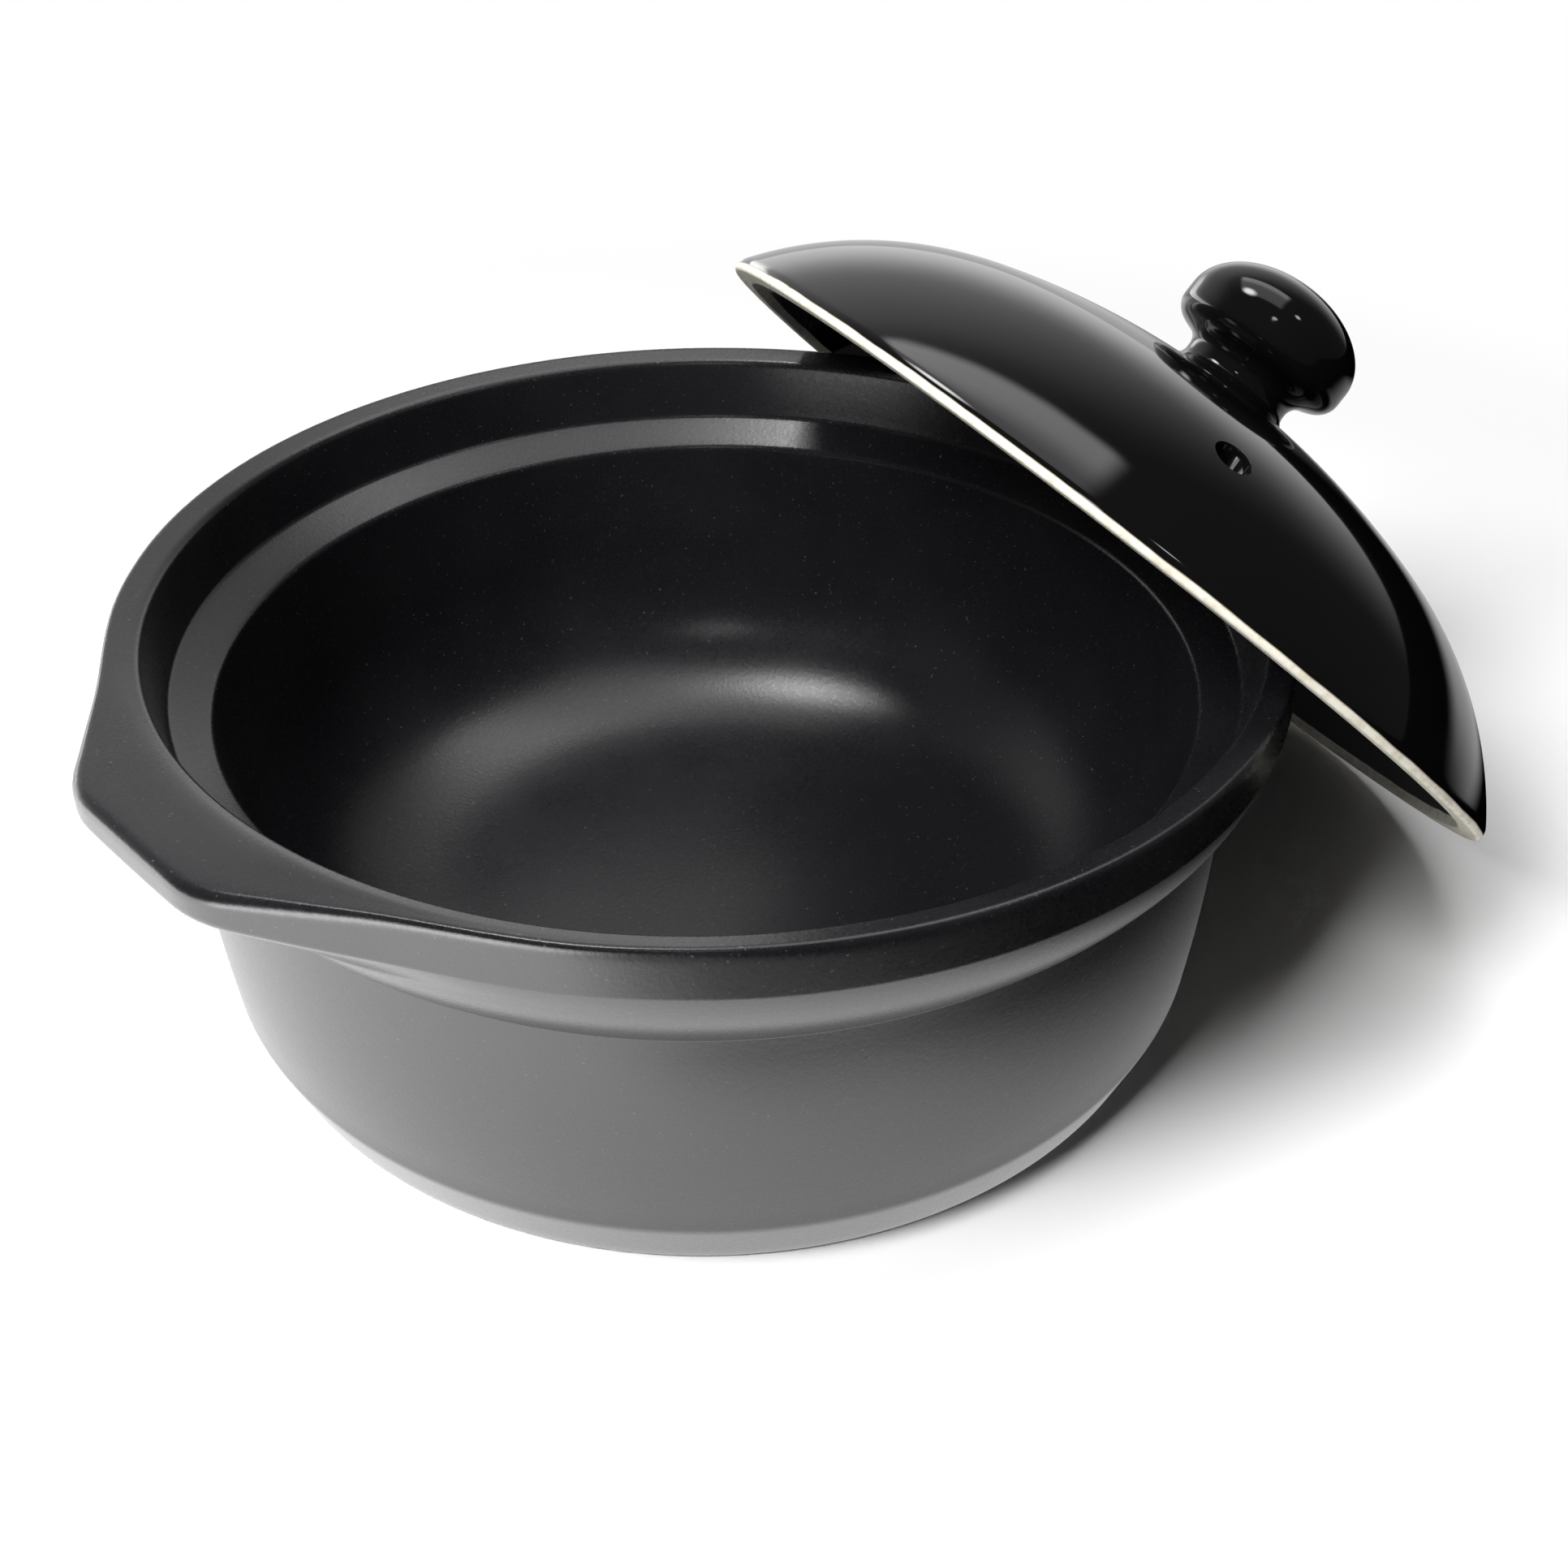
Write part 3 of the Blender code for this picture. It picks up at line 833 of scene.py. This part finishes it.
@dataclass
class Lid:
    """The domed lid with its vent, which leans on the rim.

    Lengths are in millimetres, and angles in degrees.
    """

    radius: float = 101.0
    lip_height: float = 2.4
    lip_inside: float = 95.8
    shoulder_radius: float = 85.18
    crown_radius: float = 178.28
    crown_reach: float = 60.0
    crown_height: float = 33.6
    seat_radius: float = 17.9
    seat_height: float = 43.1
    thickness: float = 5.0
    shoulder_pieces: int = 36
    inner_shoulder_pieces: int = 30
    crown_pieces: int = 26
    vent_diameter: float = 8.0
    vent_reach: float = 77.5
    vent_bearing: float = -131.0
    vent_flare: float = 0.7
    vent_rounding: float = 0.6
    vent_steps: int = 64
    cutter_overlap: float = 0.02
    cutter_width: float = 5.0
    cutter_overrun: float = 4.0
    tilt: float = 43.7
    heading: float = -14.15
    steps: int = 320
    smooth_to: float = 50.0

    def place(self) -> Matrix:
        """Where the lid's own origin and axes stand, with the origin in the middle of its lip.

        The turn follows from the lid's lean, and the shift from the box of the lid's node.

        Returns:
            The place, in metres.
        """
        turn = Matrix.Rotation(math.radians(self.heading), 4, "Z")
        turn = turn @ Matrix.Rotation(math.radians(self.tilt), 4, "Y")
        points = self.outline().points()
        shift = Vector()
        for axis, (low, high) in enumerate(zip(*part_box("lid_shell"))):
            swing = math.hypot(turn[axis][0], turn[axis][1])
            furthest = max(p.x * swing + p.y * turn[axis][2] for p in points)
            nearest = min(p.y * turn[axis][2] - p.x * swing for p in points)
            shift[axis] = (low + high - (furthest + nearest) * MM) / 2
        return Matrix.Translation(shift) @ turn

    def shoulder_centre(self) -> Vector:
        """Centre of the arc of the shoulder, which runs on from the crown's.

        Returns:
            The centre, with its reach as x and its height as y.
        """
        slope = math.asin(self.crown_reach / self.crown_radius)
        inward = Vector((math.sin(slope), math.cos(slope))) * self.shoulder_radius
        return Vector((self.crown_reach, self.crown_height)) - inward

    def outline(self) -> Outline:
        """Outline of the shell from the middle of its crown round its lip to its inside.

        Returns:
            The outline.
        """
        seat = Vector((self.seat_radius, self.seat_height))
        crown = Vector((self.crown_reach, self.crown_height))
        lip = Vector((self.radius, self.lip_height))
        inner_lip = Vector((self.lip_inside, 0.0))
        inner_crown_radius = self.crown_radius - self.thickness
        inner_shoulder_radius = self.shoulder_radius - self.thickness
        drop = math.sqrt(self.crown_radius ** 2 - self.crown_reach ** 2)
        centre = Vector((0.0, self.crown_height - drop))
        inner_top = centre + Vector((0.0, inner_crown_radius))
        inner_crown = centre.lerp(crown, inner_crown_radius / self.crown_radius)

        def bowed(start: Vector, end: Vector, radius: float) -> float:
            """Bulge of the arc of a radius between two points."""
            return radius - math.sqrt(radius * radius - (end - start).length_squared / 4)

        crown_bulge = bowed(seat, crown, self.crown_radius)
        shoulder_bulge = bowed(crown, lip, self.shoulder_radius)
        inner_shoulder_bulge = bowed(inner_lip, inner_crown, inner_shoulder_radius)
        inner_crown_bulge = bowed(inner_crown, inner_top, inner_crown_radius)
        return Outline([
            Corner(0.0, self.seat_height),
            Corner(*seat, 0.5, crown_bulge, self.crown_pieces),
            Corner(*crown, 0.0, shoulder_bulge, self.shoulder_pieces),
            Corner(*lip, rounding=3.5, pieces=2),
            Corner(self.radius, 0.0, rounding=0.8, pieces=5),
            Corner(*inner_lip, 1.4, -inner_shoulder_bulge, self.inner_shoulder_pieces),
            Corner(*inner_crown, 0.0, -inner_crown_bulge, self.crown_pieces),
            Corner(*inner_top),
        ])

    def vent_cutter(self) -> bpy.types.Object:
        """Cutter of the vent, wider at its mouths, across the shell.

        Returns:
            The cutter, in the lid's own frame.
        """
        bore = self.vent_diameter / 2
        half = self.thickness / 2
        end = half + self.cutter_overrun
        face = half + self.cutter_overlap
        wide = bore + self.cutter_width
        mouth = bore + self.vent_flare
        outline = Outline([
            Corner(0.0, -end, pieces=1),
            Corner(wide, -end, pieces=1),
            Corner(mouth, -face, pieces=1),
            Corner(bore, -face, self.vent_rounding, pieces=2),
            Corner(bore, face, self.vent_rounding, pieces=2),
            Corner(mouth, face, pieces=1),
            Corner(wide, end, pieces=1),
            Corner(0.0, end),
        ])
        cutter = Bench.turned("vent_cutter", outline.points(), self.vent_steps)
        centre = self.shoulder_centre()
        slope = math.asin((self.vent_reach - centre.x) / self.shoulder_radius)
        bearing = Matrix.Rotation(math.radians(self.vent_bearing), 4, "Z")
        middle = Matrix.Translation((centre.x * MM, 0, centre.y * MM))
        lean = Matrix.Rotation(slope, 4, "Y")
        out = Matrix.Translation((0, 0, (self.shoulder_radius - half) * MM))
        Bench.placed(cutter, bearing @ middle @ lean @ out)
        return cutter

    def build(self, finish: bpy.types.Material, place: Matrix) -> bpy.types.Object:
        """Turns the shell, drills its vent and dresses it.

        Args:
            finish: The shell's material.
            place: Where the lid stands.

        Returns:
            The shell.
        """
        piece = Bench.turned("lid", self.outline().points(), self.steps)
        Bench.drilled(piece, self.vent_cutter())
        Bench.placed(piece, place)
        Bench.finished(piece, finish, self.smooth_to)
        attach(piece, "lid")
        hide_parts("lid_shell")
        return piece


@dataclass
class Knob:
    """The lid's knob on its waisted neck, in the lid's own frame.

    Lengths are in millimetres, and angles in degrees.
    """

    foot_radius: float = 17.6
    foot_height: float = 42.82
    waist_radius: float = 13.0
    waist_height: float = 45.6
    neck_height: float = 50.5
    radius: float = 20.6
    underside_height: float = 53.3
    widest_height: float = 59.0
    top_height: float = 72.0
    steps: int = 144
    cap_pieces: int = 24
    smooth_to: float = 60.0

    def points(self) -> list[Vector]:
        """Outline from the middle of the foot to the middle of the cap.

        Returns:
            Its points, with their reach as x and their height as y.
        """
        lower = Outline([
            Corner(0.0, self.foot_height, pieces=3),
            Corner(self.foot_radius, self.foot_height, rounding=0.3),
            Corner(self.waist_radius, self.waist_height, rounding=3.0, pieces=3),
            Corner(self.waist_radius, self.neck_height, rounding=4.0),
            Corner(self.radius, self.underside_height, rounding=4.5, pieces=3),
            Corner(self.radius, self.widest_height),
        ]).points()
        cap = []
        for n in range(1, self.cap_pieces + 1):
            angle = math.pi / 2 * n / self.cap_pieces
            rise = (self.top_height - self.widest_height) * math.sin(angle)
            cap.append(Vector((self.radius * math.cos(angle), self.widest_height + rise)))
        return lower + cap

    def build(self, finish: bpy.types.Material, place: Matrix) -> bpy.types.Object:
        """Turns the knob and dresses it.

        Args:
            finish: The knob's material.
            place: Where the lid stands.

        Returns:
            The knob.
        """
        piece = Bench.turned("knob", self.points(), self.steps)
        Bench.placed(piece, place)
        Bench.finished(piece, finish, self.smooth_to)
        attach(piece, "lid")
        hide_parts("lid_knob")
        return piece


@dataclass(frozen=True)
class Lamp:
    """One square panel of the studio that lights matt surfaces and that gloss doesn't show.

    Attributes:
        name: Its name.
        place: Where it hangs, in metres.
        size: Length of its sides, in metres.
        power: Its power in watts.
    """

    name: str
    place: tuple
    size: float
    power: float

    def hang(self, aim: tuple) -> bpy.types.Object:
        """Adds the lamp to the scene.

        Args:
            aim: Where it points, in metres.

        Returns:
            The lamp.
        """
        bpy.ops.object.light_add(type="AREA", location=self.place)
        lamp = bpy.context.object
        lamp.name = self.name
        lamp.data.shape = "SQUARE"
        lamp.data.size = self.size
        lamp.data.energy = self.power
        lamp.rotation_euler = (Vector(aim) - Vector(self.place)).to_track_quat("-Z", "Y").to_euler()
        lamp.visible_glossy = False
        return lamp


@dataclass(frozen=True)
class Spot:
    """Round light of the ceiling that only gloss shows.

    Attributes:
        place: Where its direction meets a ceiling one unit up.
        edge: Distances from there at which it begins to show and is whole.
        level: Its level.
    """

    place: tuple
    edge: tuple
    level: float


@dataclass
class Studio:
    """Pale studio round the object, with the camera at the photograph's angle.

    The gloss of the glazes shows the studio's walls: a pale one behind the object, a soft panel
    overhead and dark ones elsewhere. Neither the camera nor matt surfaces see these walls. To the
    gloss the floor glows too. Lengths are in metres, angles in degrees, and pairs are the levels
    between which a mask climbs. Masks of the walls read the direction as a unit vector, and those
    of the ceiling read where it meets a ceiling one unit up.

    Attributes:
        front: Shade before the object, across and outwards.
        beside: Patch to the right of the object, along X twice and along Y.
        low_light: Light along the foot of the pale wall, by height from its middle and along Y.
        panel_fall: Where the panel falls off, and by how much.
    """

    lamps: tuple = (
        Lamp("key_panel", (-0.68, -0.08, 0.85), 0.40, 14.0),
        Lamp("overhead_panel", (0.1, 0.15, 1.1), 0.7, 6.5),
    )
    lamp_aim: tuple = (0.03, 0.0, 0.05)
    white: tuple = colour(1.0, 1.0, 1.0)
    floor_white: tuple = colour(0.80, 0.80, 0.80)
    floor_size: float = 6.0
    floor_fade: tuple = (0.30, 0.46)
    glow_least: float = 0.05
    glow_out: tuple = (-0.11, 0.28)
    glow_out_level: float = 3.5
    glow_back: tuple = (0.08, 0.3)
    glow_back_level: float = 0.7
    glow_side: tuple = (0.38, 0.24)
    glow_side_slope: float = 2.0
    front: tuple = ((-0.05, -0.12), (0.14, 0.20))
    front_slope: float = 0.3
    front_shade: float = 0.85
    beside: tuple = ((0.19, 0.23), (0.40, 0.30), (-0.22, -0.1))
    beside_level: float = 0.5
    strip_heading: float = 196.0
    strip_width: tuple = (0.94, 0.985)
    strip_reach: tuple = (0.3, 0.45)
    strip_height: tuple = (0.2, 0.05)
    strip_level: float = 6.0
    walls_reach: float = 2.0
    dark_level: float = 0.045
    back_heading: float = 60.0
    back_width: tuple = (0.22, 0.92)
    back_level: float = 1.2
    back_low: tuple = (0.12, 0.42)
    back_low_fall: float = 0.6
    back_high: tuple = (0.65, 0.8)
    back_high_fall: float = 0.25
    low_light: tuple = ((0.16, 0.08), (0.78, 0.94))
    low_light_height: float = 0.08
    low_light_level: float = 3.0
    ceiling_edge: tuple = (0.4, 0.5)
    ceiling_least: float = 0.05
    panel_turn: float = 16.0
    panel_x: tuple = (-0.06, 0.735)
    panel_y: tuple = (-0.37, 0.45)
    panel_edge: float = 0.05
    panel_level: float = 2.5
    panel_fall: tuple = ((0.6, 0.4), 1.4)
    spots: tuple = (
        Spot((-0.05, 0.28), (0.20, 0.05), 16.0),
        Spot((-0.55, -0.55), (0.10, 0.04), 8.0),
        Spot((0.35, -0.68), (0.10, 0.04), 8.0),
    )
    world_level: float = 0.03
    camera_place: tuple = (-0.2267, -0.2608, 0.2807)
    camera_heading: float = -43.565
    camera_pitch: float = 35.224
    camera_roll: float = 0.357
    camera_nearest: float = 0.01
    lens: float = 45.23
    sensor: float = 36.0

    def build(self) -> None:
        """Lays the floor, raises the walls, hangs the lamps and sets the world and the camera."""
        self.lay_floor()
        self.raise_walls()
        for lamp in self.lamps:
            lamp.hang(self.lamp_aim)
        self.set_world()
        self.set_camera()

    def floor_glow(self, x: Socket, y: Socket) -> Socket:
        """How brightly gloss shows a place on the floor.

        Args:
            x: Place along X.
            y: Place along Y.

        Returns:
            The level.
        """
        reach = distance(x, y)
        out = towards(x, y, self.strip_heading)
        lit = out.stepped(*self.glow_out) * self.glow_out_level
        lit = lit + y.stepped(*self.glow_back) * self.glow_back_level + self.glow_least
        lit = lit * (x - y * self.glow_side_slope).stepped(*self.glow_side)
        across, outwards = self.front
        front = (y - x * self.front_slope).stepped(*across) * reach.stepped(*outwards)
        left, right, before = self.beside
        beside = x.stepped(*left) * x.stepped(*right) * y.stepped(*before)
        strip = (out / reach).stepped(*self.strip_width) * reach.stepped(*self.strip_reach)
        lit = lit * (1 - front * self.front_shade)
        return lit + beside * self.beside_level + strip * self.strip_level

    def lay_floor(self) -> None:
        """Lays a pale floor that is white to the camera and keeps the object's shadow."""
        Bench.clear_selection()
        bpy.ops.mesh.primitive_plane_add(size=self.floor_size, location=(0, 0, 0))
        floor = bpy.context.object
        floor.name = "floor"
        material, sheet = new_sheet("floor_paper")
        camera, glossy, through = self.rays(sheet)
        seen = camera.highest(through)
        x, y, _ = sheet.split(sheet.object_coordinates())
        tone = sheet.mixed(seen, self.floor_white, self.white)
        paper = sheet.node("ShaderNodeBsdfDiffuse", inputs={"Color": tone})
        near = sheet.mixed_shaders(glossy, paper, sheet.glow(self.floor_glow(x, y)))
        far = distance(x, y).stepped(*self.floor_fade) * seen
        sheet.surfaced(sheet.mixed_shaders(far, near, sheet.glow(self.white)))
        floor.data.materials.append(material)

    def wall_glow(self, direction: tuple[Socket, Socket, Socket]) -> Socket:
        """How brightly gloss shows the walls below the ceiling.

        Args:
            direction: Unit vector to the wall.

        Returns:
            The level.
        """
        x, y, z = direction
        back = towards(x, y, self.back_heading).stepped(*self.back_width)
        low_fall = z.stepped(*self.back_low) * self.back_low_fall
        high_fall = z.stepped(*self.back_high) * self.back_high_fall
        height, across = self.low_light
        off = z - self.low_light_height
        low = off.highest(0 - off).stepped(*height) * y.stepped(*across)
        strip = towards(x, y, self.strip_heading).stepped(*self.strip_width) * z.stepped(*self.strip_height)
        glow = back * (self.back_level - low_fall - high_fall) + low * self.low_light_level
        return glow + strip * self.strip_level + self.dark_level

    def ceiling_glow(self, direction: tuple[Socket, Socket, Socket]) -> Socket:
        """How brightly gloss shows the ceiling's panel and spots.

        Args:
            direction: Unit vector to the ceiling.

        Returns:
            The level.
        """
        x, y, z = direction
        height = z.highest(self.ceiling_least)
        x, y = x / height, y / height
        across = towards(x, y, self.panel_turn)
        along = towards(x, y, self.panel_turn + 90)
        where, fall = self.panel_fall
        glow = self.between(across, self.panel_x) * self.between(along, self.panel_y)
        glow = glow * (self.panel_level - across.stepped(*where) * fall)
        for spot in self.spots:
            away = distance(x - spot.place[0], y - spot.place[1])
            glow = glow + away.stepped(*spot.edge) * spot.level
        return glow * z.stepped(*self.ceiling_edge)

    def raise_walls(self) -> None:
        """Raises the walls that only gloss shows, as a sphere round the object."""
        Bench.clear_selection()
        bpy.ops.mesh.primitive_uv_sphere_add(segments=48, ring_count=24, radius=self.walls_reach)
        walls = bpy.context.object
        walls.name = "studio_walls"
        material, sheet = new_sheet("wall_paper")
        place = sheet.object_coordinates()
        direction = sheet.split(sheet.node("ShaderNodeVectorMath", {"operation": "NORMALIZE"}, {0: place}))
        sheet.surfaced(sheet.glow(self.wall_glow(direction) + self.ceiling_glow(direction)))
        walls.data.materials.append(material)
        for ray in ("camera", "diffuse", "transmission", "volume_scatter", "shadow"):
            setattr(walls, f"visible_{ray}", False)

    def between(self, value: Socket, limits: tuple) -> Socket:
        """Mask of where a value lies between two limits, soft at both.

        Args:
            value: The value.
            limits: The lower and the higher limit.

        Returns:
            The mask.
        """
        low, high = limits
        edge = self.panel_edge
        return value.stepped(low - edge, low + edge) * value.stepped(high + edge, high - edge)

    @staticmethod
    def rays(sheet: NodeSheet) -> list[Socket]:
        """Masks of the kinds of ray that see a surface.

        Args:
            sheet: The sheet that reads them.

        Returns:
            The masks of rays from the camera, in gloss and through glass.
        """
        path = sheet.node("ShaderNodeLightPath").output.node
        names = ("Is Camera Ray", "Is Glossy Ray", "Is Transmission Ray")
        return [Socket(sheet, path.outputs[name]) for name in names]

    def set_world(self) -> None:
        """Sets a white background and a soft plain light round the object."""
        world = bpy.data.worlds.new("studio_white")
        bpy.context.scene.world = world
        world.use_nodes = True
        sheet = NodeSheet(world.node_tree)
        camera, glossy, through = self.rays(sheet)
        seen = camera.highest(glossy).highest(through)
        level = seen * (1 - self.world_level) + self.world_level
        background = sheet.node("ShaderNodeBackground", inputs={"Color": level, "Strength": 1.0})
        sheet.node("ShaderNodeOutputWorld", inputs={"Surface": background})

    def set_camera(self) -> None:
        """Sets the camera where the photograph was taken."""
        bpy.ops.object.camera_add()
        camera = bpy.context.object
        camera.name = "photo_camera"
        turn = Matrix.Rotation(math.radians(self.camera_heading), 4, "Z")
        turn = turn @ Matrix.Rotation(math.radians(90 - self.camera_pitch), 4, "X")
        turn = turn @ Matrix.Rotation(math.radians(self.camera_roll), 4, "Z")
        camera.matrix_world = Matrix.Translation(self.camera_place) @ turn
        camera.data.lens = self.lens
        camera.data.sensor_width = self.sensor
        camera.data.clip_start = self.camera_nearest
        bpy.context.scene.camera = camera
        bpy.context.scene.view_settings.view_transform = "Standard"


def main() -> None:
    """Builds the pieces in order, then the studio."""
    logging.basicConfig(level=logging.INFO, format="%(message)s")
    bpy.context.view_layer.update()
    pot = Pot().build(CharcoalGlaze().material())
    lid = Lid()
    place = lid.place()
    gloss = GlossGlaze()
    shell = lid.build(gloss.material("lid_glaze_looks", place, bare_lip=True), place)
    knob = Knob().build(gloss.material("knob_glaze_looks", place, bare_lip=False), place)
    for piece in (pot, shell, knob):
        log.info("%s: %d faces", piece.name, len(piece.data.polygons))
    Studio().build()


if __name__ == "__main__":
    main()
